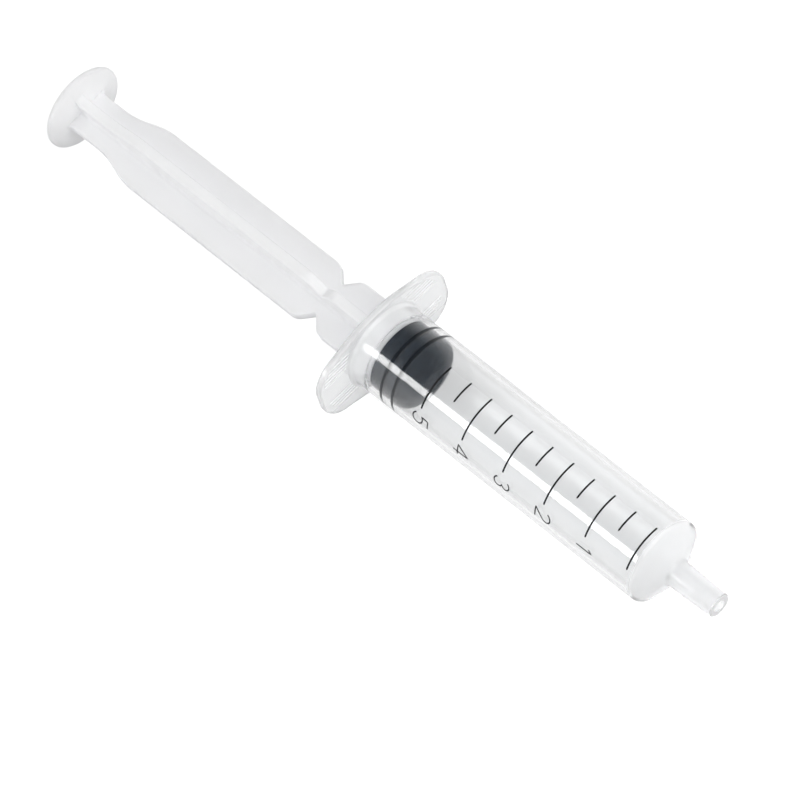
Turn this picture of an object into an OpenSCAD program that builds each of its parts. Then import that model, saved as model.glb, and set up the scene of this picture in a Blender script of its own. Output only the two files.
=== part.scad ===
// Dispensing syringe with a slip nozzle, in three pieces: a clear barrel with a two-winged finger flange,
// a rubber gasket that seals in the bore, and a plunger rod of four crossed fins with a break-off notch.
// The axis lies along X. The origin is the centre of the nozzle's mouth, which faces +X, so the rest of the
// syringe lies at negative X. The wings of the finger flange point along Y, and Z is up.

/* [Barrel] */
// Diameter of the bore
bore_d = 12.3; // [9:0.1:20]
// Thickness of the tube's wall
barrel_wall = 0.85; // [0.6:0.05:1.5]
// Length of the tube, from its front shoulder to its rear face
barrel_length = 58.7; // [40:0.1:90]
// Slope of the conical front's outside, measured from a plane square to the axis
front_slope = 30; // [15:1:45]
// Slope of the conical front's inside and of the gasket that seats in it
seat_slope = 26; // [15:1:45]
// Thickness of the conical front, along the axis at the nozzle's root
front_wall = 1.4; // [1:0.1:2.5]
// Rounding of the front shoulder
shoulder_round = 0.8; // [0.2:0.1:1.5]

/* [Nozzle] */
// Length of the nozzle, from its mouth to the conical front
nozzle_length = 8.4; // [6:0.1:12]
// Outside diameter at the mouth
nozzle_tip_d = 3.97; // [3.4:0.01:6]
// Taper of the outside, in percent of the length
nozzle_taper = 6; // [1:0.5:10]
// Diameter of the channel
nozzle_bore_d = 2.0; // [0.8:0.1:2.6]
// Fillet at the root
nozzle_fillet = 0.8; // [0.2:0.1:1.5]
// Rounding of the mouth's outer edge
nozzle_mouth_round = 0.25; // [0.1:0.05:0.4]

/* [Finger flange] */
// Thickness of the flange
flange_t = 1.1; // [0.9:0.05:2.5]
// How far the straight sides stand out from the tube
flange_land = 1.1; // [0.8:0.1:3]
// Length of each straight side, before its corners are rounded
flange_flat = 7.3; // [4:0.1:12]
// How far each wing stands out from the tube
wing_reach = 6.2; // [4.5:0.1:10]
// Width of each wing's end, before its corners are rounded
wing_end = 10.2; // [7.5:0.1:13]
// Rounding of the corners at the wings' ends
wing_round = 4.9; // [1:0.1:4.9]
// Rounding of the corners between the straight sides and the wings
flange_corner_round = 2.0; // [0.5:0.1:4]
// Fillet between the flange and the tube
flange_fillet = 0.75; // [0.3:0.05:0.8]

/* [Grip ribs] */
// Number of grip ribs along each edge of a wing's rear face
grip_ribs = 5; // [1:1:6]
// Distance of the first grip rib from the middle of the wing
grip_start = 2.25; // [1:0.05:3]
// Distance between neighbouring grip ribs
grip_pitch = 0.68; // [0.5:0.02:0.8]
// Width of each grip rib
grip_w = 0.34; // [0.2:0.02:0.4]
// Height of each grip rib
grip_h = 0.15; // [0.1:0.01:0.3]
// Distance of the grip ribs from the wing's edge
grip_inset = 1.3; // [0.8:0.1:2]
// Distance of the grip ribs from the bore
grip_margin = 1.5; // [1:0.1:2.5]

/* [Retaining bead] */
// How far the bead stands into the bore
bead_h = 0.25; // [0.1:0.05:0.4]
// Radius of the bead's round section
bead_r = 0.5; // [0.4:0.05:0.7]
// Distance of the bead's crest from the rear face
bead_inset = 0.95; // [0.9:0.05:3]
// Chamfer at the mouth of the bore
mouth_chamfer = 0.3; // [0.1:0.05:0.5]

/* [Gasket] */
// Length of the gasket
gasket_length = 7.2; // [6.2:0.1:14]
// Diameter of its flat tip
gasket_tip_d = 4.4; // [2:0.1:6]
// Radial gap between the gasket's body and the bore
gasket_gap = 0.2; // [0.1:0.05:0.5]
// Radial running clearance of the sealing ribs in the bore
rib_clearance = 0.03; // [0.01:0.01:0.08]
// Width of each sealing rib
rib_w = 0.7; // [0.4:0.05:1.2]
// Distance between the two sealing ribs
rib_pitch = 2.3; // [1.5:0.1:3]
// Rounding of the gasket's edges
gasket_round = 0.3; // [0.1:0.05:0.5]
// How far the gasket can still be drawn back before it meets the bead
draw_reserve = 2.95; // [0.2:0.05:20]

/* [Snap head] */
// Diameter of the neck behind the head
stem_d = 4.4; // [3:0.1:5]
// Length of the neck
stem_length = 2.0; // [1:0.1:2.5]
// Diameter of the head
head_d = 6.6; // [5.5:0.1:8]
// Height of the head's round rim
head_rim = 0.7; // [0.4:0.1:1]
// Diameter of the head's flat nose
head_nose_d = 3.2; // [1.5:0.1:4.5]
// Length of the head's tapered nose
head_nose = 1.8; // [1:0.1:2.2]
// Running clearance of the head in the gasket's socket
head_clearance = 0.05; // [0.02:0.01:0.1]

/* [Plunger rod] */
// Length of the rod, from the pusher disc's front face to the thumb face
rod_length = 69; // [55:0.1:100]
// Radial gap between the pusher disc and the bore
disc_gap = 0.4; // [0.35:0.05:1]
// Thickness of the pusher disc
disc_t = 0.9; // [0.6:0.1:2]
// Radial gap between the fins and the bore
fin_gap = 0.9; // [0.5:0.05:1.5]
// Thickness of each fin
fin_t = 1.75; // [0.8:0.05:2.2]
// Fillet between neighbouring fins
fin_fillet = 0.5; // [0.2:0.1:1]
// Turn of the rod about the axis, as it lies
rod_turn = 6; // [0:1:90]

/* [Break-off notch] */
// Distance of the notch from the pusher disc's front face
notch_at = 14.85; // [8:0.05:25]
// Depth of the notch in each fin
notch_depth = 2.25; // [1:0.05:2.6]
// Angle between the notch's walls
notch_angle = 90; // [60:5:120]
// Rounding of the notch's bottom
notch_bottom_round = 0.3; // [0.1:0.05:0.5]
// Rounding of the notch's two edges
notch_edge_round = 2.2; // [0.3:0.1:2.5]

/* [Thumb rest] */
// Diameter of the thumb rest
thumb_d = 14.2; // [12:0.1:20]
// Thickness of its rim
thumb_rim = 0.9; // [0.7:0.05:1.5]
// Rounding of the rim's edges
thumb_round = 0.4; // [0.1:0.05:0.44]
// Slope of its conical back, measured from a plane square to the axis
thumb_slope = 9; // [0:1:20]
// Width of the flat land round the dished thumb face
thumb_land = 1.2; // [0.8:0.1:2]
// Depth of the dished thumb face
thumb_dish = 0.4; // [0.2:0.05:0.6]
// Length of the straight grip neck, from the thumb face
grip_neck = 7.0; // [4:0.1:12]
// Length of the curve where the fins draw in to the neck
waist_length = 9.3; // [6:0.1:16]
// How far each fin draws in
waist_depth = 1.72; // [0.5:0.02:2]
// Fillet between the neck and the thumb rest
thumb_fillet = 1.0; // [0.3:0.1:2]

/* [Hidden] */
$fn = 96;

// How far blending pieces and cutters reach past the faces that they work on
lap = 0.1;
// How far the flange's fillet runs below the flange's face
sink = 0.03;

bore_r = bore_d / 2;
barrel_r = bore_r + barrel_wall;
nozzle_tip_r = nozzle_tip_d / 2;
nozzle_bore_r = nozzle_bore_d / 2;
nozzle_root_r = nozzle_tip_r + nozzle_length * nozzle_taper / 200;
nozzle_half_taper = atan(nozzle_taper / 200);

// Places along the axis
nozzle_root_x = -nozzle_length;
shoulder_x = nozzle_root_x - (barrel_r - nozzle_root_r) * tan(front_slope);
rear_x = shoulder_x - barrel_length;
flange_x = rear_x + flange_t;
bead_x = rear_x + bead_inset;
bead_front_x = bead_x + sqrt(bead_r * bead_r - pow(bead_r - bead_h, 2));
gasket_rear_x = bead_front_x + draw_reserve;
gasket_tip_x = gasket_rear_x + gasket_length;
disc_x = gasket_rear_x - head_clearance;
thumb_x = disc_x - rod_length;

// Place along the axis where the inside of the conical front has the given radius
function inner_cone_x(radius) =
    nozzle_root_x - front_wall - (radius - nozzle_root_r) * tan(seat_slope);

// Sizes of the gasket and of the head in it
gasket_r = bore_r - gasket_gap;
rib_r = bore_r - rib_clearance;
gasket_tip_r = gasket_tip_d / 2;
gasket_cone = (gasket_r - gasket_tip_r) * tan(seat_slope);

// Sizes of the rod
disc_r = bore_r - disc_gap;
fin_r = bore_r - fin_gap;
neck_r = fin_r - waist_depth;
thumb_r = thumb_d / 2;
waist_corner = waist_length / 4;
waist_foot_x = thumb_x + grip_neck + waist_corner;
waist_top_x = thumb_x + grip_neck + waist_length - waist_corner;
waist_slope = atan2(waist_depth, waist_top_x - waist_foot_x);
waist_round = waist_corner * tan(90 - waist_slope / 2);
thumb_back_x = thumb_x + thumb_rim;
thumb_neck_x = thumb_back_x + (thumb_r - neck_r) * tan(thumb_slope);

// Turns a shape that stands on Z so that it lies along X
module along_axis() {
    rotate([0, 90, 0])
        children();
}

// Makes a body of revolution about X from a half profile of radius and place along the axis
module turned() {
    along_axis()
        rotate_extrude()
            children();
}

// The sliver between a sharp corner and an arc that touches both of its sides.
// Taken away from an outer corner it rounds it, and added to an inner corner it fills it.
module corner_sliver(corner, side_a, side_b, radius) {
    half = abs(side_b - side_a) / 2;
    middle = (side_a + side_b) / 2;
    reach = radius / tan(half);
    into = [cos(middle), sin(middle)];
    difference() {
        polygon([
            corner - lap * into,
            corner + reach * [cos(side_a), sin(side_a)],
            corner + reach * [cos(side_b), sin(side_b)],
        ]);
        translate(corner + radius / sin(half) * into)
            circle(radius);
    }
}

// Outside of the barrel as a half profile: nozzle, conical front, tube and the disc inside the flange
module barrel_outside() {
    flange_disc_r = barrel_r + flange_fillet;
    difference() {
        union() {
            polygon([
                [0, 0],
                [nozzle_tip_r, 0],
                [nozzle_root_r, nozzle_root_x],
                [barrel_r, shoulder_x],
                [barrel_r, flange_x - sink],
                [flange_disc_r, flange_x - sink],
                [flange_disc_r, rear_x],
                [0, rear_x],
            ]);
            corner_sliver([nozzle_root_r, nozzle_root_x], 90 + nozzle_half_taper, -front_slope, nozzle_fillet);
            corner_sliver([barrel_r, flange_x - sink], 90, 0, flange_fillet);
        }
        corner_sliver([nozzle_tip_r, 0], 180, 270 + nozzle_half_taper, nozzle_mouth_round);
        corner_sliver([barrel_r, shoulder_x], 180 - front_slope, 270, shoulder_round);
    }
}

// Inside of the barrel as a half profile: channel, conical front, bore, bead and chamfered mouth
module barrel_inside() {
    difference() {
        polygon([
            [0, lap],
            [nozzle_bore_r, lap],
            [nozzle_bore_r, inner_cone_x(nozzle_bore_r)],
            [bore_r, inner_cone_x(bore_r)],
            [bore_r, rear_x + mouth_chamfer],
            [bore_r + mouth_chamfer + lap, rear_x - lap],
            [0, rear_x - lap],
        ]);
        translate([bore_r + bead_r - bead_h, bead_x])
            circle(bead_r);
    }
}

// Outline of the finger flange, with Y across and Z up, drawn in on every side by the given amount
module flange_outline(inset) {
    side_z = barrel_r + flange_land;
    flat_y = flange_flat / 2;
    end_y = barrel_r + wing_reach;
    slope = atan2(side_z - wing_end / 2, end_y - flat_y);
    top_y = flat_y - inset * tan(slope / 2);
    top_z = side_z - inset;
    tip_y = end_y - inset;
    tip_z = wing_end / 2 - inset * tan(45 - slope / 2);
    difference() {
        polygon([
            [top_y, top_z],
            [tip_y, tip_z],
            [tip_y, -tip_z],
            [top_y, -top_z],
            [-top_y, -top_z],
            [-tip_y, -tip_z],
            [-tip_y, tip_z],
            [-top_y, top_z],
        ]);
        for (across = [0, 1], up = [0, 1])
            mirror([across, 0])
                mirror([0, up]) {
                    corner_sliver([tip_y, tip_z], 180 - slope, 270, wing_round - inset);
                    corner_sliver([top_y, top_z], 180, 360 - slope, flange_corner_round);
                }
    }
}

// Raised ribs along both edges of each wing
module grip_pattern() {
    reach = barrel_r + wing_reach;
    difference() {
        intersection() {
            flange_outline(grip_inset);
            for (index = [0 : grip_ribs - 1], up = [-1, 1])
                translate([0, up * (grip_start + index * grip_pitch)])
                    square([2 * reach, grip_w], center = true);
        }
        circle(bore_r + grip_margin);
    }
}

module flange() {
    translate([rear_x, 0, 0])
        rotate([90, 0, 90]) {
            linear_extrude(flange_t)
                flange_outline(0);
            translate([0, 0, -grip_h])
                linear_extrude(grip_h + lap)
                    grip_pattern();
        }
}

module barrel() {
    color([0.93, 0.95, 0.96, 0.4])
        difference() {
            union() {
                turned()
                    barrel_outside();
                flange();
            }
            turned()
                barrel_inside();
        }
}

// Half profile of the snap head and its neck, grown on every side by the given amount
module head_profile(grow) {
    stem_r = stem_d / 2 + grow;
    head_r = head_d / 2 + grow;
    nose_r = head_nose_d / 2 + grow;
    rim_rear_x = disc_x + stem_length - grow;
    rim_front_x = rim_rear_x + head_rim + 2 * grow;
    nose_x = rim_front_x + head_nose;
    polygon([
        [0, disc_x - lap],
        [stem_r, disc_x - lap],
        [stem_r, rim_rear_x],
        [head_r, rim_rear_x],
        [head_r, rim_front_x],
        [nose_r, nose_x],
        [0, nose_x],
    ]);
}

// One sealing rib as a half profile, with its rear edge at the given place
module sealing_rib(rear) {
    translate([0, rear])
        difference() {
            square([rib_r, rib_w]);
            corner_sliver([rib_r, 0], 180, 90, rib_w / 2 - lap / 2);
            corner_sliver([rib_r, rib_w], 180, 270, rib_w / 2 - lap / 2);
        }
}

// Half profile of the gasket's body: flat tip, conical front and straight back
module gasket_profile() {
    difference() {
        polygon([
            [0, gasket_tip_x],
            [gasket_tip_r, gasket_tip_x],
            [gasket_r, gasket_tip_x - gasket_cone],
            [gasket_r, gasket_rear_x],
            [0, gasket_rear_x],
        ]);
        corner_sliver([gasket_tip_r, gasket_tip_x], 180, 360 - seat_slope, gasket_round);
        corner_sliver([gasket_r, gasket_rear_x], 180, 90, gasket_round);
    }
}

module gasket() {
    first_rib_x = gasket_tip_x - gasket_cone - rib_w;
    color([0.2, 0.21, 0.23])
        difference() {
            union() {
                turned()
                    gasket_profile();
                for (index = [0, 1])
                    turned()
                        sealing_rib(first_rib_x - index * rib_pitch);
            }
            turned()
                head_profile(head_clearance);
        }
}

// Outline of a pair of opposite fins: place along the axis across, distance from the axis up
module fin_outline() {
    front_x = disc_x - disc_t / 2;
    back_x = thumb_back_x - thumb_rim / 2;
    difference() {
        union() {
            polygon([
                [back_x, neck_r],
                [waist_foot_x, neck_r],
                [waist_top_x, fin_r],
                [front_x, fin_r],
                [front_x, -fin_r],
                [waist_top_x, -fin_r],
                [waist_foot_x, -neck_r],
                [back_x, -neck_r],
            ]);
            for (side = [0, 1])
                mirror([0, side]) {
                    corner_sliver([waist_foot_x, neck_r], 180, waist_slope, waist_round);
                    corner_sliver([thumb_neck_x, neck_r], 0, 90 + thumb_slope, thumb_fillet);
                }
        }
        for (side = [0, 1])
            mirror([0, side]) {
                corner_sliver([waist_top_x, fin_r], 180 + waist_slope, 360, waist_round);
                notch();
            }
    }
}

// One notch in the edge of a fin
module notch() {
    half = notch_angle / 2;
    centre_r = fin_r - notch_depth + notch_bottom_round;
    wall_r = centre_r - notch_bottom_round * sin(half);
    wall_w = notch_bottom_round * cos(half);
    mouth_w = wall_w + (fin_r - wall_r) * tan(half);
    translate([disc_x - notch_at, 0]) {
        polygon([
            [-wall_w, wall_r],
            [wall_w, wall_r],
            [mouth_w + lap * tan(half), fin_r + lap],
            [-mouth_w - lap * tan(half), fin_r + lap],
        ]);
        translate([0, centre_r])
            circle(notch_bottom_round);
        for (side = [0, 1])
            mirror([side, 0])
                corner_sliver([mouth_w, fin_r], 0, -90 - half, notch_edge_round);
    }
}

// A pair of opposite fins as one flat plate through the axis
module fin_plate() {
    rotate([90, 0, 0])
        linear_extrude(fin_t, center = true)
            fin_outline();
}

// The fillets in the four corners between the fins
module fin_roots() {
    root = fin_t / 2 + fin_fillet;
    translate([thumb_back_x, 0, 0])
        rotate([90, 0, 90])
            linear_extrude(disc_x - disc_t / 2 - thumb_back_x)
                difference() {
                    square(2 * root, center = true);
                    for (across = [-1, 1], up = [-1, 1])
                        translate([across * root, up * root])
                            circle(fin_fillet);
                }
}

// Half profile of the thumb rest: rounded rim, conical back with a fillet, dished face with a flat land
module thumb_profile() {
    dish_r = thumb_r - thumb_land;
    dish_ball = (dish_r * dish_r + thumb_dish * thumb_dish) / (2 * thumb_dish);
    difference() {
        polygon([
            [0, thumb_x],
            [thumb_r, thumb_x],
            [thumb_r, thumb_back_x],
            [neck_r, thumb_neck_x],
            [0, thumb_neck_x],
        ]);
        corner_sliver([thumb_r, thumb_x], 90, 180, thumb_round);
        corner_sliver([thumb_r, thumb_back_x], 180 - thumb_slope, 270, thumb_round);
        translate([0, thumb_x + thumb_dish - dish_ball])
            circle(dish_ball);
    }
}

module plunger_rod() {
    color([0.91, 0.92, 0.94])
        union() {
            turned()
                head_profile(0);
            translate([disc_x - disc_t, 0, 0])
                along_axis()
                    cylinder(h = disc_t, r = disc_r);
            rotate([rod_turn, 0, 0]) {
                fin_plate();
                rotate([90, 0, 0])
                    fin_plate();
                fin_roots();
            }
            turned()
                thumb_profile();
        }
}

barrel();
gasket();
plunger_rod();
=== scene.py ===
"""Looks of a dispensing syringe: clear barrel with a scale, rubber gasket, milky rod."""

import math

import bpy
from mathutils import Matrix, Vector


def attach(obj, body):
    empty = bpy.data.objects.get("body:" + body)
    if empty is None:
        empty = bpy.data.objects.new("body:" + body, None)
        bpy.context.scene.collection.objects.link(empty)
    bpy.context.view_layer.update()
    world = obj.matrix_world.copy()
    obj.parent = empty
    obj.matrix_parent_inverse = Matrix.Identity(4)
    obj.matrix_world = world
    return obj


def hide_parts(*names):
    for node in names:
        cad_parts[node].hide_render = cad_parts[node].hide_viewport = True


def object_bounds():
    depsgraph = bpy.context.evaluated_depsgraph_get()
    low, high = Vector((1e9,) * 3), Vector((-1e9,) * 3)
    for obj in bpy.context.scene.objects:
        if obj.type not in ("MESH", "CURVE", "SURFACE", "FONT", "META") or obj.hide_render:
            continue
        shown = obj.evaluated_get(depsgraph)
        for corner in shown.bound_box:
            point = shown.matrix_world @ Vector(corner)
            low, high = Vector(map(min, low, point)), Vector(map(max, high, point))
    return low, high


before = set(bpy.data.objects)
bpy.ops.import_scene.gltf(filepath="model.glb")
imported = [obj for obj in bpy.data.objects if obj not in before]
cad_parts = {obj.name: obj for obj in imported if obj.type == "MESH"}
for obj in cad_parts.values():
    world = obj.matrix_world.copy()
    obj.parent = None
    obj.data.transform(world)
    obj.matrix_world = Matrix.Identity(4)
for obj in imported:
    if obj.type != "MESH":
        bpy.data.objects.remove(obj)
cad_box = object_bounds()

# Sizes are in millimetres and angles in degrees. Places count along the axis from the nozzle's
# mouth, and radii are measured out from the axis.

# Drawing: steps round a lathed piece, reach for merging points, and what counts as near.
ROUND_STEPS = 192
MERGE_REACH = 0.0005
CUT_REACH = 0.0001
NEAR = 0.01
CREASE = 32

# Barrel, from the mouth to the rear
MOUTH_R = 1.985
MOUTH_ROUND = 0.25
NOZZLE_ROOT = -8.4
NOZZLE_ROOT_R = 2.237
SHOULDER = -11.15
SHOULDER_ROUND = 0.8
BARREL_R = 7.0
CUTTER_FRONT = 0.5
CHANNEL_R = 1.0
CHANNEL_REAR = -9.197
CHANNEL_ROUND = 0.4
BORE_FRONT = -11.709
BORE_ROUND = 0.6
BORE_R = 6.15
BEAD_FRONT = -68.467
BEAD_MIDDLE = -68.9
BEAD_LIFT = 0.25
BEAD_ROUND = 0.5
LEAD_FRONT = -69.55
LEAD_REAR = -70.35
LEAD_RISE = 0.8

# Flange with its hub, wings and grip ribs
FLANGE_FRONT = -68.75
FLANGE_REAR = -69.85
FLANGE_FLAT_Y = 3.65
FLANGE_SIDE_Z = 8.1
FLANGE_CORNER_ROUND = 2.0
FLANGE_CORNER_STEPS = 6
FLANGE_EDGE_ROUND = 0.28
FLANGE_EDGE_STEPS = 4
FLANGE_FILLET = 0.75
FLANGE_THROUGH = 0.2
HUB_SINK = 0.02
HUB_R = 7.9
HUB_REAR = -69.3
WING_Y = 13.2
WING_END_Z = 5.1
WING_ROUND = 4.9
WING_STEPS = 24
FLANGE_SLOPE = math.atan2(FLANGE_SIDE_Z - WING_END_Z, WING_Y - FLANGE_FLAT_Y)
GRIP_COUNT = 5
GRIP_START = 2.25
GRIP_PITCH = 0.68
GRIP_WIDTH = 0.34
GRIP_HEIGHT = 0.15
GRIP_ROUND = 0.11
GRIP_ROUND_STEPS = 3
GRIP_ROOT = 0.3
GRIP_INSET = 1.3
GRIP_INNER_R = 7.65
GRIP_FIELD_FRONT = 0.2
GRIP_FIELD_REAR = 1
GRIP_KEEP_OUT_FRONT = -68
GRIP_KEEP_OUT_REAR = -71

# Gasket with its sealing ribs and its socket
GASKET_FRONT = -58.317
GASKET_FRONT_R = 2.2
GASKET_FRONT_ROUND = 0.4
GASKET_CONE_REAR = -60.03
GASKET_R = 5.95
SEAL_PLACES = (-60.496, -62.796)
SEAL_R = 6.17
SEAL_FOOT = 0.46
SEAL_FRONT = 0.22
SEAL_REAR = 0.27
SEAL_ROUND = 0.1
GASKET_SKIRT = -63.3
GASKET_REAR = -65.517
GASKET_REAR_ROUND = 0.3
SOCKET_MOUTH_R = 2.25
SOCKET_REAR = -63.617
SOCKET_R = 3.35
SOCKET_CONE_REAR = -62.817
SOCKET_FRONT = -61.017
SOCKET_FRONT_R = 1.65

# Rod, from its mushroom head to the thumb rest
HEAD_FRONT = -61.067
HEAD_FRONT_R = 1.6
HEAD_CONE_REAR = -62.867
HEAD_R = 3.3
HEAD_ROUND = 0.2
HEAD_REAR = -63.567
HEAD_REAR_ROUND = 0.15
STEM_R = 2.2
STEM_ROUND = 0.1
DISC_FRONT = -65.567
DISC_REAR = -66.467
DISC_R = 5.75
DISC_ROUND = 0.22
FIN_SINK = 0.4
FIN_R = 5.25
FIN_T = 1.75
FIN_FILLET = 0.5
FIN_FILLET_STEPS = 6
FIN_FILLET_SINK = 0.015
FIN_FILLET_FRONT = 0.3
FIN_FILLET_REAR = -133.6
FIN_EDGE_ROUND = 0.22
FIN_EDGE_STEPS = 3
FIN_STEP = 6
NOTCH_X = DISC_FRONT - 14.85
NOTCH_BOTTOM_R = 2.876
NOTCH_BOTTOM_ROUND = 0.3
NOTCH_EDGE_ROUND = 2.2
WAIST_FRONT = -120.592
WAIST_REAR = -125.242
WAIST_ROUND = 12.95
NECK_R = 3.53
NECK_REAR = -133.13
NECK_ROUND = 1.0
FOOT_FRONT = -133.38
FOOT_REAR = -134.0
FOOT_R = 5.1
ROD_TURN = 6
THUMB_MIDDLE = -133.0
THUMB_ROOT = -133.1
THUMB_BACK = -133.667
THUMB_FACE = -134.567
THUMB_R = 7.1
THUMB_ROUND = 0.4
THUMB_LAND_R = 5.95
DISH_R = 5.9
DISH_DEPTH = 0.4
DISH_BALL_R = 43.71
DISH_STEPS = 16

# Printed scale
INK_R = 7.012
INK_DEPTH = 0.03
MARK_COUNT = 11
MARK_FIRST = -12.5
MARK_STEP = -4.21
MARK_WIDTH = 0.3
MARK_END_SHARE = 0.45
MARK_END_STEPS = 5
MARK_TURN_STEP = 2
MARK_TOP = 11.9
MARK_SHORT_END = -20.2
MARK_LONG_END = -52.8
DIGIT_WIDTH = 1.9
DIGIT_HEIGHT = 3
DIGIT_ANGLE = -68.7
DIGIT_PEN = 0.25
DIGIT_STEP = 0.3
DIGIT_SHIFT = 0.3

# Where the barrel's plastic is cloudy: ahead of its front place and behind its rear place.
CLOUDY_FRONT = -12.0
CLOUDY_REAR = -66.2
MOUTH_RIM = -0.3
RIB_LIFT = 0.005

# The barrel's cloudy materials in the order of their slots: name, colour, clearness, roughness.
CLOUDY_LOOKS = (
    ("cloudy_plastic", (0.88, 0.883, 0.887), 0.6, 0.06),
    ("nose_skin", (0.89, 0.893, 0.896), 0.76, 0.06),
    # Painted shade: a darker copy of the plastic for the flange's rear faces.
    ("flange_back", (0.81, 0.813, 0.818), 0.5, 0.06),
    ("rib_plastic", (0.92, 0.92, 0.923), 0.5, 0.3),
    # Painted shade: a darker copy of the plastic for the nose's inner faces.
    ("nose_inside", (0.82, 0.823, 0.828), 0.5, 0.15),
)
COLLAR, NOSE, FLANGE_BACK, RIBS, NOSE_INSIDE = range(1, 6)
PLASTIC_IOR = 1.49
RUBBER_IOR = 1.5

# Lamps, in metres and watts: name, direction, distance, size, power, colour.
LAMP_AIM = (-0.06, 0, 0)
LAMPS = (
    ("side_box", (-0.45, -0.695, 0.569), 0.62, (0.22, 0.17), 1.15, (1, 1, 1)),
    ("side_wall", (-0.45, -0.87, 0.2), 0.9, (0.9, 0.45), 0.65, (0.93, 0.97, 1)),
    ("front_box", (0.65, -0.04, 0.76), 1.0, (0.9, 0.9), 6.5, (1, 1, 1)),
    ("far_box", (0.35, 0.7, 0.62), 1.0, (0.7, 0.7), 3.8, (1, 1, 1)),
)
FLOOR_GAP = 0.00002
FLOOR_LIFT = 0.72


def pick(piece):
    """Leaves one object selected and active."""
    bpy.ops.object.select_all(action="DESELECT")
    piece.select_set(True)
    bpy.context.view_layer.objects.active = piece


def open_edit(piece, kind="VERT"):
    """Opens a piece in edit mode with everything selected."""
    pick(piece)
    bpy.ops.object.mode_set(mode="EDIT")
    bpy.ops.mesh.select_mode(type=kind)
    bpy.ops.mesh.select_all(action="SELECT")


def close_edit():
    """Turns the faces outward and goes back to object mode."""
    bpy.ops.mesh.select_all(action="SELECT")
    bpy.ops.mesh.normals_make_consistent(inside=False)
    bpy.ops.object.mode_set(mode="OBJECT")


def select_edges(piece, test):
    """Selects, in edit mode, the edges whose two ends pass a test."""
    open_edit(piece, "EDGE")
    bpy.ops.mesh.select_all(action="DESELECT")
    bpy.ops.object.mode_set(mode="OBJECT")
    spots = [vertex.co.copy() for vertex in piece.data.vertices]
    for edge in piece.data.edges:
        first, last = edge.vertices
        edge.select = test(spots[first], spots[last])
    bpy.ops.object.mode_set(mode="EDIT")


def round_edges(piece, test, offset, segments):
    """Bevels the edges whose two ends pass a test."""
    select_edges(piece, test)
    bpy.ops.mesh.bevel(offset=offset, segments=segments, clamp_overlap=False)
    close_edit()


def apply_last(piece):
    """Applies the modifier that was added last."""
    bpy.ops.object.modifier_apply(modifier=piece.modifiers[-1].name)


def combine(piece, tool, operation):
    """Joins, cuts or trims a piece with another, which is used up."""
    pick(piece)
    bpy.ops.object.modifier_add(type="BOOLEAN")
    boolean = piece.modifiers[-1]
    boolean.operation = operation
    boolean.solver = "EXACT"
    boolean.object = tool
    apply_last(piece)
    bpy.data.objects.remove(tool, do_unlink=True)
    return piece


def join(pieces, name):
    """Makes several objects into one."""
    pick(pieces[0])
    for piece in pieces[1:]:
        piece.select_set(True)
    bpy.ops.object.join()
    pieces[0].name = name
    return pieces[0]


def set_down(piece, turn=(0, 0, 0), place=(0, 0, 0)):
    """Turns and shifts a piece and leaves its object untransformed."""
    pick(piece)
    piece.rotation_euler = [math.radians(angle) for angle in turn]
    piece.location = place
    bpy.ops.object.transform_apply(location=True, rotation=True, scale=True)


def rounded(corners, step=9):
    """A line through corners, each with the radius that rounds it; its two ends stay sharp."""
    line = []
    ends = (0, len(corners) - 1)
    for index, (x, y, radius) in enumerate(corners):
        here = Vector((x, y))
        if radius == 0 or index in ends:
            line.append(here)
            continue
        before = (Vector(corners[index - 1][:2]) - here).normalized()
        after = (Vector(corners[index + 1][:2]) - here).normalized()
        half = before.angle(after) / 2
        middle = here + (before + after).normalized() * radius / math.sin(half)
        first = here + before * radius / math.tan(half) - middle
        final = here + after * radius / math.tan(half) - middle
        start = math.atan2(first.y, first.x)
        sweep = (math.atan2(final.y, final.x) - start + math.pi) % math.tau - math.pi
        count = max(2, math.ceil(abs(math.degrees(sweep)) / step))
        for part in range(count + 1):
            angle = start + sweep * part / count
            line.append(middle + radius * Vector((math.cos(angle), math.sin(angle))))
    return [tuple(point) for point in line]


def arc(x, y, radius, start, end, count=10):
    """Points of an arc, in degrees."""
    angles = [math.radians(start + (end - start) * part / count) for part in range(count + 1)]
    return [(x + radius * math.cos(angle), y + radius * math.sin(angle)) for angle in angles]


def draw(name, points):
    """Draws a line by extruding one vertex from point to point, and stays in edit mode."""
    bpy.ops.object.select_all(action="DESELECT")
    bpy.ops.mesh.primitive_plane_add(size=1, location=(0, 0, 0))
    piece = bpy.context.object
    piece.name = name
    open_edit(piece)
    bpy.ops.mesh.merge(type="CENTER")
    bpy.ops.transform.translate(value=points[0])
    for here, there in zip(points, points[1:]):
        shift = Vector(there) - Vector(here)
        bpy.ops.mesh.extrude_vertices_move(TRANSFORM_OT_translate={"value": shift})
    return piece


def lathe(name, line):
    """Spins a line of places along the axis and distances from it into a round piece."""
    piece = draw(name, [(x, 0, r) for x, r in line])
    bpy.ops.mesh.select_all(action="SELECT")
    bpy.ops.mesh.spin(steps=ROUND_STEPS, angle=math.tau, center=(0, 0, 0), axis=(1, 0, 0))
    bpy.ops.mesh.select_all(action="SELECT")
    bpy.ops.mesh.remove_doubles(threshold=MERGE_REACH)
    close_edit()
    return piece


def plate(name, points, depth):
    """Fills an outline and extrudes it into a plate."""
    piece = draw(name, points)
    bpy.ops.mesh.select_all(action="SELECT")
    bpy.ops.mesh.edge_face_add()
    bpy.ops.mesh.extrude_region_move(TRANSFORM_OT_translate={"value": depth})
    close_edit()
    return piece


def block(name, low, high):
    """A box from its lowest to its highest corner."""
    bpy.ops.object.select_all(action="DESELECT")
    middle = [(a + b) / 2 for a, b in zip(low, high)]
    size = [b - a for a, b in zip(low, high)]
    bpy.ops.mesh.primitive_cube_add(size=1, location=middle, scale=size)
    piece = bpy.context.object
    piece.name = name
    bpy.ops.object.transform_apply(location=True, rotation=True, scale=True)
    return piece


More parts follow.
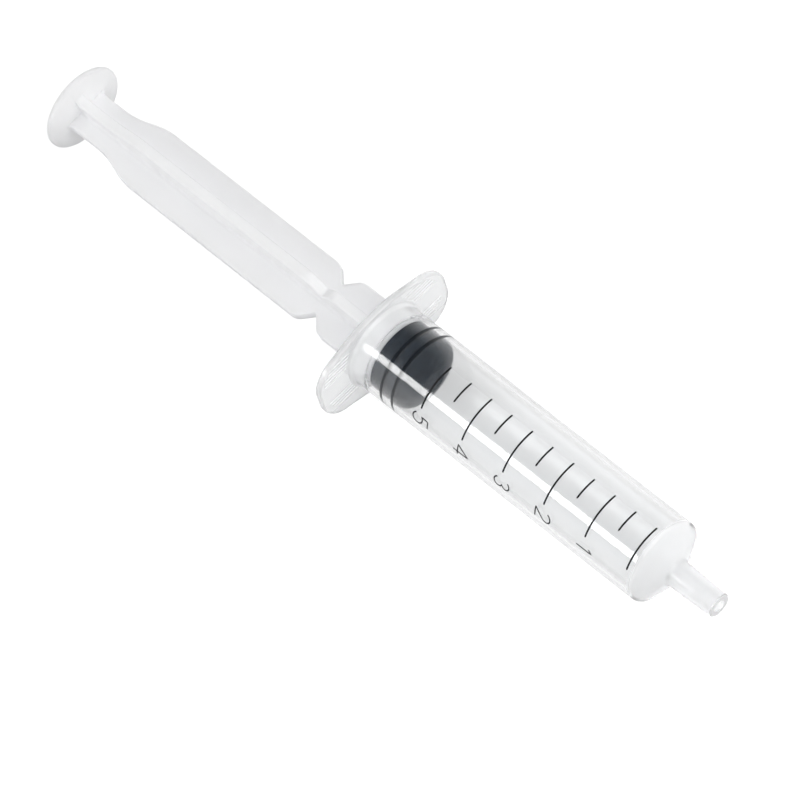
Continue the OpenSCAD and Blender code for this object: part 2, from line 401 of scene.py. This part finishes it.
def wing_plate(name, front, rear, inset):
    """The flange's winged outline as a plate, drawn in by an inset."""
    wing_y = WING_Y - inset
    side_z = FLANGE_SIDE_Z - inset
    piece = block(name, (rear, -wing_y, -side_z), (front, wing_y, side_z))
    for across in (-1, 1):
        for up in (-1, 1):
            out = Vector((0, across * math.sin(FLANGE_SLOPE), up * math.cos(FLANGE_SLOPE)))
            corner = Vector((0, across * FLANGE_FLAT_Y, up * FLANGE_SIDE_Z)) - out * inset
            open_edit(piece)
            bpy.ops.mesh.bisect(
                plane_co=corner,
                plane_no=out,
                use_fill=True,
                clear_outer=True,
                threshold=CUT_REACH,
            )
            close_edit()

    def at_wing_end(a, b):
        return abs(a.x - b.x) > FLANGE_THROUGH and abs(a.y) > wing_y - NEAR

    def at_flat_side(a, b):
        return abs(a.x - b.x) > FLANGE_THROUGH and abs(a.z) > side_z - NEAR

    reach = (WING_ROUND - inset) / math.tan((math.pi / 2 + FLANGE_SLOPE) / 2)
    round_edges(piece, at_wing_end, reach, WING_STEPS)
    reach = FLANGE_CORNER_ROUND * math.tan(FLANGE_SLOPE / 2)
    round_edges(piece, at_flat_side, reach, FLANGE_CORNER_STEPS)
    return piece


def grip_ribs():
    """The fine ribs along both edges of each wing, on the flange's rear face."""
    top = FLANGE_REAR - GRIP_HEIGHT
    low = (top, -WING_Y, GRIP_START - GRIP_WIDTH / 2)
    high = (FLANGE_REAR + GRIP_ROOT, WING_Y, GRIP_START + GRIP_WIDTH / 2)
    first = block("rib", low, high)

    def along_top(a, b):
        return a.x < top + NEAR and b.x < top + NEAR and abs(a.y - b.y) > WING_Y

    round_edges(first, along_top, GRIP_ROUND, GRIP_ROUND_STEPS)
    ribs = []
    for up in (-1, 1):
        for index in range(GRIP_COUNT):
            rib = first.copy()
            rib.data = first.data.copy()
            bpy.context.collection.objects.link(rib)
            middle = up * (GRIP_START + index * GRIP_PITCH)
            set_down(rib, place=(0, 0, middle - GRIP_START))
            ribs.append(rib)
    bpy.data.objects.remove(first, do_unlink=True)
    ribs = join(ribs, "grip_ribs")
    front = FLANGE_REAR + GRIP_FIELD_FRONT
    rear = FLANGE_REAR - GRIP_FIELD_REAR
    combine(ribs, wing_plate("grip_field", front, rear, GRIP_INSET), "INTERSECT")
    keep_out = lathe("grip_keep_out", [
        (GRIP_KEEP_OUT_FRONT, 0),
        (GRIP_KEEP_OUT_FRONT, GRIP_INNER_R),
        (GRIP_KEEP_OUT_REAR, GRIP_INNER_R),
        (GRIP_KEEP_OUT_REAR, 0),
    ])
    return combine(ribs, keep_out, "DIFFERENCE")


def barrel_shell():
    """Nozzle, conical front, tube and winged flange, moulded in one."""
    outside = rounded([
        (0, 0, 0),
        (0, MOUTH_R, MOUTH_ROUND),
        (NOZZLE_ROOT, NOZZLE_ROOT_R, SHOULDER_ROUND),
        (SHOULDER, BARREL_R, SHOULDER_ROUND),
        (CLOUDY_REAR, BARREL_R, 0),
        (FLANGE_FRONT - HUB_SINK, BARREL_R, FLANGE_FILLET),
        (FLANGE_FRONT - HUB_SINK, HUB_R, 0),
        (HUB_REAR, HUB_R, 0),
        (HUB_REAR, 0, 0),
    ])
    inside = rounded([
        (CUTTER_FRONT, 0, 0),
        (CUTTER_FRONT, CHANNEL_R, 0),
        (CHANNEL_REAR, CHANNEL_R, CHANNEL_ROUND),
        (BORE_FRONT, BORE_R, BORE_ROUND),
        (CLOUDY_REAR, BORE_R, 0),
    ])
    inside += [(BEAD_FRONT, BORE_R)]
    inside += arc(BEAD_MIDDLE, BORE_R + BEAD_LIFT, BEAD_ROUND, -30, -150)
    inside += [(LEAD_FRONT, BORE_R), (LEAD_REAR, BORE_R + LEAD_RISE), (LEAD_REAR, 0)]
    shell = lathe("barrel_shell", outside)
    flange = wing_plate("flange", FLANGE_FRONT, FLANGE_REAR, 0)
    round_edges(flange, lambda a, b: abs(a.x - b.x) < NEAR, FLANGE_EDGE_ROUND, FLANGE_EDGE_STEPS)
    combine(shell, flange, "UNION")
    combine(shell, grip_ribs(), "UNION")
    return combine(shell, lathe("bore", inside), "DIFFERENCE")


def gasket_body():
    """Rubber stopper with a conical front, two sealing ribs and a socket for the rod's head."""
    outside = rounded([
        (GASKET_FRONT, 0, 0),
        (GASKET_FRONT, GASKET_FRONT_R, GASKET_FRONT_ROUND),
        (GASKET_CONE_REAR, GASKET_R, 0),
    ])
    for middle in SEAL_PLACES:
        outside += rounded([
            (middle + SEAL_FOOT, GASKET_R, 0),
            (middle + SEAL_FRONT, SEAL_R, SEAL_ROUND),
            (middle - SEAL_REAR, SEAL_R, SEAL_ROUND),
            (middle - SEAL_FOOT, GASKET_R, 0),
        ], step=15)
    outside += rounded([
        (GASKET_SKIRT, GASKET_R, 0),
        (GASKET_REAR, GASKET_R, GASKET_REAR_ROUND),
        (GASKET_REAR, SOCKET_MOUTH_R, 0),
    ])
    outside += [
        (SOCKET_REAR, SOCKET_MOUTH_R),
        (SOCKET_REAR, SOCKET_R),
        (SOCKET_CONE_REAR, SOCKET_R),
        (SOCKET_FRONT, SOCKET_FRONT_R),
        (SOCKET_FRONT, 0),
    ]
    return lathe("gasket_body", outside)


def fin_pair(name):
    """Two opposite fins with their notch, waist and neck, as one plate."""
    mouth = FIN_R - NOTCH_BOTTOM_R
    upper = rounded([
        (DISC_REAR + FIN_SINK, FIN_R, 0),
        (NOTCH_X + mouth, FIN_R, NOTCH_EDGE_ROUND),
        (NOTCH_X, NOTCH_BOTTOM_R, NOTCH_BOTTOM_ROUND),
        (NOTCH_X - mouth, FIN_R, NOTCH_EDGE_ROUND),
        (WAIST_FRONT, FIN_R, WAIST_ROUND),
        (WAIST_REAR, NECK_R, WAIST_ROUND),
        (NECK_REAR, NECK_R, NECK_ROUND),
        (FOOT_FRONT, FOOT_R, 0),
        (FOOT_REAR, FOOT_R, 0),
    ], step=FIN_STEP)
    outline = upper + [(x, -r) for x, r in reversed(upper)]
    piece = plate(name, [(x, -FIN_T / 2, r) for x, r in outline], (0, FIN_T, 0))
    round_edges(piece, lambda a, b: abs(a.y - b.y) < NEAR, FIN_EDGE_ROUND, FIN_EDGE_STEPS)
    return piece


def fin_roots():
    """The core that fills the corners between the fins with a fillet."""
    root = FIN_T / 2 + FIN_FILLET - FIN_FILLET_SINK
    corner = arc(root, root, FIN_FILLET, 270, 180, FIN_FILLET_STEPS)
    outline = []
    for quarter in range(4):
        turn = Matrix.Rotation(math.radians(90 * quarter), 2)
        outline += [turn @ Vector(point) for point in corner]
    length = -FIN_FILLET_REAR + DISC_REAR + FIN_FILLET_FRONT
    return plate("fin_roots", [(FIN_FILLET_REAR, y, z) for y, z in outline], (length, 0, 0))


def rod_body():
    """Mushroom head, pusher disc, crossed fins and thumb rest, moulded in one."""
    rod = fin_pair("rod_body")
    crossing = fin_pair("crossing_fins")
    set_down(crossing, turn=(90, 0, 0))
    combine(rod, crossing, "UNION")
    combine(rod, fin_roots(), "UNION")
    set_down(rod, turn=(ROD_TURN, 0, 0))
    dish_half = math.degrees(math.asin(DISH_R / DISH_BALL_R))
    ball_middle = THUMB_FACE + DISH_DEPTH - DISH_BALL_R
    dish = arc(ball_middle, 0, DISH_BALL_R, dish_half, 0, DISH_STEPS)
    thumb = rounded([
        (THUMB_MIDDLE, 0, 0),
        (THUMB_ROOT, NECK_R, 0),
        (THUMB_BACK, THUMB_R, THUMB_ROUND),
        (THUMB_FACE, THUMB_R, THUMB_ROUND),
        (THUMB_FACE, THUMB_LAND_R, 0),
    ])
    combine(rod, lathe("thumb_rest", thumb + dish), "UNION")
    head = rounded([
        (HEAD_FRONT, 0, 0),
        (HEAD_FRONT, HEAD_FRONT_R, HEAD_ROUND),
        (HEAD_CONE_REAR, HEAD_R, HEAD_ROUND),
        (HEAD_REAR, HEAD_R, HEAD_REAR_ROUND),
        (HEAD_REAR, STEM_R, STEM_ROUND),
        (DISC_FRONT, STEM_R, STEM_ROUND),
        (DISC_FRONT, DISC_R, DISC_ROUND),
        (DISC_REAR, DISC_R, DISC_ROUND),
        (DISC_REAR, 0, 0),
    ])
    return combine(rod, lathe("pusher_head", head), "UNION")


def scale_mark(place, end):
    """One printed mark, wrapped round the barrel from the common upper line down to its end."""
    bpy.ops.object.select_all(action="DESELECT")
    spot = (place, 0, INK_R - INK_DEPTH / 2)
    bpy.ops.mesh.primitive_plane_add(size=1, location=spot, rotation=(math.pi / 2, 0, 0))
    mark = bpy.context.object
    mark.scale = (MARK_WIDTH, INK_DEPTH, 1)
    bpy.ops.object.transform_apply(location=True, rotation=True, scale=True)
    set_down(mark, turn=(-MARK_TOP, 0, 0))
    sweep = MARK_TOP - end
    steps = math.ceil(sweep / MARK_TURN_STEP)
    open_edit(mark)
    bpy.ops.mesh.spin(steps=steps, angle=math.radians(sweep), center=(0, 0, 0), axis=(-1, 0, 0))
    close_edit()

    def at_end(a, b):
        angle = math.degrees(math.atan2(a.y, a.z))
        off = min(abs(angle - MARK_TOP), abs(angle - end))
        return (a - b).length < INK_DEPTH * 1.1 and off < 0.1

    round_edges(mark, at_end, MARK_WIDTH * MARK_END_SHARE, MARK_END_STEPS)
    return mark


def digit_stroke(number):
    """The pen stroke of a plain digit, across and up, in a box of the digits' width and height."""
    return {
        1: [(0.55, 2.4), (1.1, 3), (1.1, 0)],
        2: arc(0.95, 2.13, 0.87, 165, -32, 16) + [(0.05, 0), (1.9, 0)],
        3: arc(0.9, 2.27, 0.73, 155, -78, 16) + arc(0.9, 0.81, 0.81, 78, -158, 18),
        4: [(1.35, 0), (1.35, 3), (0, 0.85), (1.9, 0.85)],
        5: [(1.7, 3), (0.42, 3), (0.27, 1.7)] + arc(0.88, 0.96, 0.96, 128, -155, 20),
    }[number]


def scale_digit(number, place):
    """One plain digit, drawn with a round pen, flattened and bent round the barrel."""
    stroke = digit_stroke(number)
    points = [stroke[0]]
    for here, there in zip(stroke, stroke[1:]):
        count = math.ceil(math.dist(here, there) / DIGIT_STEP)
        for part in range(1, count + 1):
            points.append(tuple(a + (b - a) * part / count for a, b in zip(here, there)))
    line = [(up - DIGIT_HEIGHT / 2, 0, DIGIT_WIDTH / 2 - across) for across, up in points]
    digit = draw("digit", line)
    bpy.ops.object.mode_set(mode="OBJECT")
    bpy.ops.object.convert(target="CURVE")
    digit.data.bevel_depth = DIGIT_PEN / 2
    digit.data.bevel_resolution = 2
    digit.data.use_fill_caps = True
    bpy.ops.object.convert(target="MESH")
    open_edit(digit)
    bpy.ops.mesh.remove_doubles(threshold=MERGE_REACH)
    flat = (1, INK_DEPTH / DIGIT_PEN, 1)
    bpy.ops.transform.resize(value=flat, center_override=(0, 0, 0))
    close_edit()
    spots = [vertex.co.z for vertex in digit.data.vertices]
    turn_r = INK_R - INK_DEPTH / 2
    bpy.ops.object.modifier_add(type="SIMPLE_DEFORM")
    bend = digit.modifiers[-1]
    bend.deform_method = "BEND"
    bend.deform_axis = "X"
    bend.angle = (max(spots) - min(spots)) / turn_r
    apply_last(digit)
    set_down(digit, place=(place, -turn_r, 0))
    set_down(digit, turn=(-90 - DIGIT_ANGLE, 0, 0))
    return digit


def scale_print():
    """The printed scale: a mark for every half millilitre and a digit for every whole one."""
    prints = []
    for index in range(MARK_COUNT):
        place = MARK_FIRST + index * MARK_STEP
        whole = index % 2 == 0
        prints.append(scale_mark(place, MARK_LONG_END if whole else MARK_SHORT_END))
        if whole and index:
            prints.append(scale_digit(index // 2, place + DIGIT_SHIFT))
    return join(prints, "scale_print")


def finish_piece(piece, body, node, material):
    """Brings a piece to metres, smooths it and gives it its material and its place in the frame."""
    pick(piece)
    piece.scale = (0.001, 0.001, 0.001)
    bpy.ops.object.transform_apply(location=True, rotation=True, scale=True)
    bpy.ops.object.shade_smooth_by_angle(angle=math.radians(CREASE))
    bpy.ops.object.modifier_add(type="WEIGHTED_NORMAL")
    piece.modifiers[-1].keep_sharp = True
    apply_last(piece)
    piece.data.materials.clear()
    piece.data.materials.append(material)
    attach(piece, body)
    if node:
        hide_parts(node)


def add_socket(group, name, way, kind, value=None):
    """Adds a socket to a node group."""
    socket = group.interface.new_socket(name=name, in_out=way, socket_type=kind)
    if value is not None:
        socket.default_value = value


def add_node(tree, kind, place, **values):
    """Adds a node with its settings."""
    made = tree.nodes.new(kind)
    made.location = place
    for name, value in values.items():
        setattr(made, name, value)
    return made


def ramp(tree, place, source, start, end):
    """Maps a range of a value smoothly to another range."""
    made = add_node(tree, "ShaderNodeMapRange", place, interpolation_type="SMOOTHSTEP")
    for name, value in zip(("From Min", "From Max", "To Min", "To Max"), start + end):
        made.inputs[name].default_value = value
    tree.links.new(source, made.inputs["Value"])
    return made.outputs["Result"]


def moulded_skin():
    """Uneven gloss, faint mottling and fine grain of a moulded surface, in its own coordinates."""
    group = bpy.data.node_groups.new("moulded_skin", "ShaderNodeTree")
    add_socket(group, "Roughness", "INPUT", "NodeSocketFloat", 0.2)
    add_socket(group, "Unevenness", "INPUT", "NodeSocketFloat", 0.05)
    add_socket(group, "Grain Size", "INPUT", "NodeSocketFloat", 2500)
    add_socket(group, "Grain Depth", "INPUT", "NodeSocketFloat", 0.02)
    add_socket(group, "Mottle", "OUTPUT", "NodeSocketFloat")
    add_socket(group, "Grain", "OUTPUT", "NodeSocketFloat")
    add_socket(group, "Roughness", "OUTPUT", "NodeSocketFloat")
    add_socket(group, "Normal", "OUTPUT", "NodeSocketVector")
    entry = add_node(group, "NodeGroupInput", (-900, 0))
    leave = add_node(group, "NodeGroupOutput", (600, 0))
    place = add_node(group, "ShaderNodeTexCoord", (-900, 300))
    flow = add_node(group, "ShaderNodeMapping", (-700, 300))
    flow.inputs["Scale"].default_value = (0.35, 1, 1)
    cloud = add_node(group, "ShaderNodeTexNoise", (-450, 300))
    cloud.inputs["Scale"].default_value = 260
    cloud.inputs["Detail"].default_value = 4
    grain = add_node(group, "ShaderNodeTexNoise", (-450, 0))
    grain.inputs["Detail"].default_value = 3
    centre = add_node(group, "ShaderNodeMath", (-200, 200), operation="SUBTRACT")
    centre.inputs[1].default_value = 0.5
    spread = add_node(group, "ShaderNodeMath", (0, 200), operation="MULTIPLY_ADD", use_clamp=True)
    bump = add_node(group, "ShaderNodeBump", (200, -100))
    bump.inputs["Distance"].default_value = 0.00005
    link = group.links.new
    link(place.outputs["Object"], flow.inputs["Vector"])
    link(flow.outputs["Vector"], cloud.inputs["Vector"])
    link(place.outputs["Object"], grain.inputs["Vector"])
    link(entry.outputs["Grain Size"], grain.inputs["Scale"])
    link(cloud.outputs["Fac"], centre.inputs[0])
    link(centre.outputs[0], spread.inputs[0])
    link(entry.outputs["Unevenness"], spread.inputs[1])
    link(entry.outputs["Roughness"], spread.inputs[2])
    link(grain.outputs["Fac"], bump.inputs["Height"])
    link(entry.outputs["Grain Depth"], bump.inputs["Strength"])
    link(cloud.outputs["Fac"], leave.inputs["Mottle"])
    link(grain.outputs["Fac"], leave.inputs["Grain"])
    link(spread.outputs[0], leave.inputs["Roughness"])
    link(bump.outputs["Normal"], leave.inputs["Normal"])
    return group


def skinned(name, skin, light, dark, roughness, unevenness, grain_size, grain_depth):
    """A material whose colour, gloss and relief vary as on a moulded piece."""
    material = bpy.data.materials.new(name)
    material.use_nodes = True
    tree = material.node_tree
    shader = tree.nodes["Principled BSDF"]
    surface = add_node(tree, "ShaderNodeGroup", (-700, 0), node_tree=skin, name="surface")
    surface.inputs["Roughness"].default_value = roughness
    surface.inputs["Unevenness"].default_value = unevenness
    surface.inputs["Grain Size"].default_value = grain_size
    surface.inputs["Grain Depth"].default_value = grain_depth
    tint = add_node(tree, "ShaderNodeMix", (-350, 200), data_type="RGBA")
    tint.inputs["A"].default_value = (*dark, 1)
    tint.inputs["B"].default_value = (*light, 1)
    link = tree.links.new
    link(surface.outputs["Mottle"], tint.inputs["Factor"])
    link(tint.outputs["Result"], shader.inputs["Base Color"])
    link(surface.outputs["Roughness"], shader.inputs["Roughness"])
    link(surface.outputs["Normal"], shader.inputs["Normal"])
    return material, shader


def scatter(shader, weight, depth):
    """Lets light scatter under a material's surface, alike in all colours."""
    shader.inputs["Subsurface Weight"].default_value = weight
    shader.inputs["Subsurface Radius"].default_value = (1, 1, 1)
    shader.inputs["Subsurface Scale"].default_value = depth


def let_light_through(material, shader, colour):
    """Lets lamp light pass through a material to what lies behind it, tinted by a colour."""
    tree = material.node_tree
    rays = add_node(tree, "ShaderNodeLightPath", (0, 500))
    passing = add_node(tree, "ShaderNodeBsdfTransparent", (0, -500))
    passing.inputs["Color"].default_value = (*colour, 1)
    choice = add_node(tree, "ShaderNodeMixShader", (350, 0))
    out = tree.nodes["Material Output"]
    out.location = (600, 0)
    tree.links.new(rays.outputs["Is Shadow Ray"], choice.inputs["Fac"])
    tree.links.new(shader.outputs["BSDF"], choice.inputs[1])
    tree.links.new(passing.outputs["BSDF"], choice.inputs[2])
    tree.links.new(choice.outputs["Shader"], out.inputs["Surface"])


def shade(tree, shader, amount):
    """Scales a material's colour by a value."""
    scaled = add_node(tree, "ShaderNodeVectorMath", (-180, 350), operation="SCALE")
    colour = shader.inputs["Base Color"]
    tree.links.new(colour.links[0].from_socket, scaled.inputs["Vector"])
    tree.links.new(amount, scaled.inputs["Scale"])
    tree.links.new(scaled.outputs["Vector"], colour)


def clear_plastic(skin):
    """Clear plastic of the thin tube, dull underneath, with painted shade face-on and at its edges.
    """
    material, shader = skinned(
        "clear_plastic",
        skin,
        light=(0.91, 0.913, 0.915),
        dark=(0.885, 0.889, 0.893),
        roughness=0.08,
        unevenness=0.05,
        grain_size=900,
        grain_depth=0.0005,
    )
    tree = material.node_tree
    slant = add_node(tree, "ShaderNodeLayerWeight", (-900, 500))
    slant.inputs["Blend"].default_value = 0.5
    facing = slant.outputs["Facing"]
    # Painted shade: darker where the tube is seen face-on, and darker again at its slanted edges.
    shade(tree, shader, ramp(tree, (-700, 500), facing, (0.1, 0.3), (0.92, 1)))
    shade(tree, shader, ramp(tree, (-700, 800), facing, (0.5, 0.66), (1, 0.78)))
    place = add_node(tree, "ShaderNodeTexCoord", (-1300, 0))
    parts = add_node(tree, "ShaderNodeSeparateXYZ", (-1100, 0))
    tree.links.new(place.outputs["Object"], parts.inputs["Vector"])
    dull = ramp(tree, (-900, 0), parts.outputs["Z"], (-0.005, -0.002), (0.34, 0.08))
    tree.links.new(dull, tree.nodes["surface"].inputs["Roughness"])
    shader.inputs["IOR"].default_value = PLASTIC_IOR
    shader.inputs["Transmission Weight"].default_value = 1
    let_light_through(material, shader, (0.93, 0.935, 0.94))
    return material


def cloudy_plastic(skin, name, light, clearness, roughness):
    """The same plastic where it is thick or grained: the light scatters in it."""
    material, shader = skinned(
        name,
        skin,
        light=light,
        dark=[value - 0.03 for value in light],
        roughness=roughness,
        unevenness=0.04,
        grain_size=900,
        grain_depth=0.001,
    )
    shader.inputs["IOR"].default_value = PLASTIC_IOR
    shader.inputs["Transmission Weight"].default_value = clearness
    scatter(shader, weight=0.6, depth=0.0015)
    let_light_through(material, shader, (0.88, 0.885, 0.895))
    return material


def cloud_barrel(shell, skin):
    """Gives the barrel's nose, collar, flange and ribs their cloudy plastic."""
    for name, light, clearness, roughness in CLOUDY_LOOKS:
        shell.data.materials.append(cloudy_plastic(skin, name, light, clearness, roughness))
    for face in shell.data.polygons:
        place = face.center.x * 1000
        outward = face.normal.y * face.center.y + face.normal.z * face.center.z
        if place < FLANGE_REAR - RIB_LIFT or place > MOUTH_RIM and face.normal.x > 0.9:
            face.material_index = RIBS
        # The flange's rear faces and the nose's inner faces get the darker copies, painted shade.
        elif place < CLOUDY_REAR and face.normal.x < -0.99:
            face.material_index = FLANGE_BACK
        elif place > CLOUDY_FRONT:
            face.material_index = NOSE if outward > -0.0001 else NOSE_INSIDE
        elif place < CLOUDY_REAR and face.normal.x < 0.99:
            face.material_index = COLLAR


def milky_plastic(skin):
    """Milky plastic that the light soaks into."""
    material, shader = skinned(
        "milky_plastic",
        skin,
        light=(0.988, 0.989, 0.995),
        dark=(0.97, 0.972, 0.981),
        roughness=0.5,
        unevenness=0.12,
        grain_size=1400,
        grain_depth=0.03,
    )
    scatter(shader, weight=0.8, depth=0.004)
    shader.inputs["IOR"].default_value = PLASTIC_IOR
    shader.inputs["Transmission Weight"].default_value = 0.28
    shader.inputs["Specular IOR Level"].default_value = 0.22
    let_light_through(material, shader, (0.4, 0.4, 0.42))
    return material


def rubber(skin):
    """Charcoal rubber with a dull sheen and fine grain, and painted shade on the ribs that press on
    the tube.
    """
    material, shader = skinned(
        "rubber",
        skin,
        light=(0.021, 0.029, 0.04),
        dark=(0.008, 0.0122, 0.019),
        roughness=0.42,
        unevenness=0.16,
        grain_size=2600,
        grain_depth=0.15,
    )
    tree = material.node_tree
    grain = tree.nodes["surface"].outputs["Grain"]
    shade(tree, shader, ramp(tree, (-450, 500), grain, (0.35, 0.65), (0.6, 1.5)))
    place = add_node(tree, "ShaderNodeTexCoord", (-1300, 500))
    across = add_node(tree, "ShaderNodeVectorMath", (-1100, 500), operation="MULTIPLY")
    across.inputs[1].default_value = (0, 1, 1)
    reach = add_node(tree, "ShaderNodeVectorMath", (-900, 500), operation="LENGTH")
    tree.links.new(place.outputs["Object"], across.inputs[0])
    tree.links.new(across.outputs["Vector"], reach.inputs[0])
    # Painted shade: where the ribs press on the tube their colour is halved, and their sheen is
    # lowered.
    pressed = (0.00602, 0.00612)
    shade(tree, shader, ramp(tree, (-700, 800), reach.outputs["Value"], pressed, (1, 0.5)))
    sheen = ramp(tree, (-700, 500), reach.outputs["Value"], pressed, (0.35, 0.05))
    tree.links.new(sheen, shader.inputs["Specular IOR Level"])
    shader.inputs["IOR"].default_value = RUBBER_IOR
    return material


def scale_ink(skin):
    """Black printing ink that lies a little unevenly."""
    material, shader = skinned(
        "scale_ink",
        skin,
        light=(0.016, 0.016, 0.018),
        dark=(0.004, 0.004, 0.005),
        roughness=0.5,
        unevenness=0.2,
        grain_size=9000,
        grain_depth=0.1,
    )
    shader.inputs["Specular IOR Level"].default_value = 0.2
    return material


def seen_white(tree, place, kinds):
    """A value of 1 for the kinds of rays that show a background, and 0 for all others."""
    rays = add_node(tree, "ShaderNodeLightPath", place)
    value = rays.outputs[kinds[0]]
    for index, kind in enumerate(kinds[1:]):
        spot = (place[0] + 200 * (index + 1), place[1])
        either = add_node(tree, "ShaderNodeMath", spot, operation="MAXIMUM")
        tree.links.new(value, either.inputs[0])
        tree.links.new(rays.outputs[kind], either.inputs[1])
        value = either.outputs[0]
    return value


def lay_floor():
    """Pale floor that shows white and keeps the object's shadow."""
    spot = (0, 0, cad_box[0].z - FLOOR_GAP)
    bpy.ops.object.select_all(action="DESELECT")
    bpy.ops.mesh.primitive_plane_add(size=6, location=spot)
    floor = bpy.context.object
    floor.name = "floor"
    bpy.ops.object.transform_apply(location=True, rotation=True, scale=True)
    material = bpy.data.materials.new("pale_floor")
    material.use_nodes = True
    tree = material.node_tree
    shader = tree.nodes["Principled BSDF"]
    shader.inputs["Base Color"].default_value = (0.4, 0.4, 0.4, 1)
    shader.inputs["Roughness"].default_value = 0.9
    shader.inputs["Specular IOR Level"].default_value = 0
    shader.inputs["Emission Color"].default_value = (1, 1, 1, 1)
    lift = add_node(tree, "ShaderNodeMath", (-200, -300), operation="MULTIPLY")
    lift.inputs[1].default_value = FLOOR_LIFT
    shown = ("Is Camera Ray", "Is Transmission Ray", "Is Glossy Ray")
    tree.links.new(seen_white(tree, (-900, -300), shown), lift.inputs[0])
    tree.links.new(lift.outputs[0], shader.inputs["Emission Strength"])
    floor.data.materials.append(material)


def light_sky():
    """World light that fades from the horizon to the top, and shows white to the camera."""
    world = bpy.data.worlds.new("studio")
    world.use_nodes = True
    bpy.context.scene.world = world
    tree = world.node_tree
    sky = tree.nodes["Background"]
    sky.inputs["Color"].default_value = (1, 1, 1, 1)
    way = add_node(tree, "ShaderNodeTexCoord", (-1100, 200))
    parts = add_node(tree, "ShaderNodeSeparateXYZ", (-900, 200))
    tree.links.new(way.outputs["Generated"], parts.inputs["Vector"])
    fade = ramp(tree, (-700, 200), parts.outputs["Z"], (0.1, 0.75), (0.85, 0.14))
    level = add_node(tree, "ShaderNodeMix", (-200, 0), data_type="FLOAT")
    level.inputs["B"].default_value = 1
    tree.links.new(fade, level.inputs["A"])
    seen = seen_white(tree, (-900, -100), ("Is Camera Ray",))
    tree.links.new(seen, level.inputs["Factor"])
    tree.links.new(level.outputs["Result"], sky.inputs["Strength"])


def hang_lamps():
    """Soft rectangular lamps that face the object, with their width along its axis."""
    for name, way, distance, size, power, colour in LAMPS:
        light = bpy.data.lights.new(name, "AREA")
        light.shape = "RECTANGLE"
        light.size, light.size_y = size
        light.energy = power
        light.color = colour
        lamp = bpy.data.objects.new(name, light)
        bpy.context.collection.objects.link(lamp)
        back = Vector(way).normalized()
        along = (Vector((1, 0, 0)) - back * back.x).normalized()
        across = back.cross(along)
        lamp.matrix_world = Matrix((along, across, back)).transposed().to_4x4()
        lamp.location = Vector(LAMP_AIM) + back * distance


def set_camera():
    """The camera that was fitted to the scale marks and the barrel's outlines."""
    lens = bpy.data.cameras.new("camera")
    lens.sensor_width = 36
    lens.lens = 379.557
    lens.clip_start = 0.05
    lens.clip_end = 20
    camera = bpy.data.objects.new("camera", lens)
    bpy.context.collection.objects.link(camera)
    right = Vector((0.700755, 0.692607, -0.170995))
    down = Vector((0.550948, -0.677674, -0.487046))
    forward = Vector((-0.45321, 0.247091, -0.856473))
    camera.matrix_world = Matrix((right, -down, -forward)).transposed().to_4x4()
    camera.location = (0.501586, -0.311673, 1.061891)
    bpy.context.scene.camera = camera
    bpy.context.scene.view_settings.view_transform = "Standard"


skin = moulded_skin()
shell = barrel_shell()
ink = scale_print()
stopper = gasket_body()
rod = rod_body()
finish_piece(shell, "barrel", "barrel", clear_plastic(skin))
cloud_barrel(shell, skin)
finish_piece(ink, "barrel", None, scale_ink(skin))
finish_piece(stopper, "gasket", "gasket", rubber(skin))
finish_piece(rod, "rod", "plunger_rod", milky_plastic(skin))
lay_floor()
light_sky()
hang_lamps()
set_camera()

bpy.context.view_layer.update()
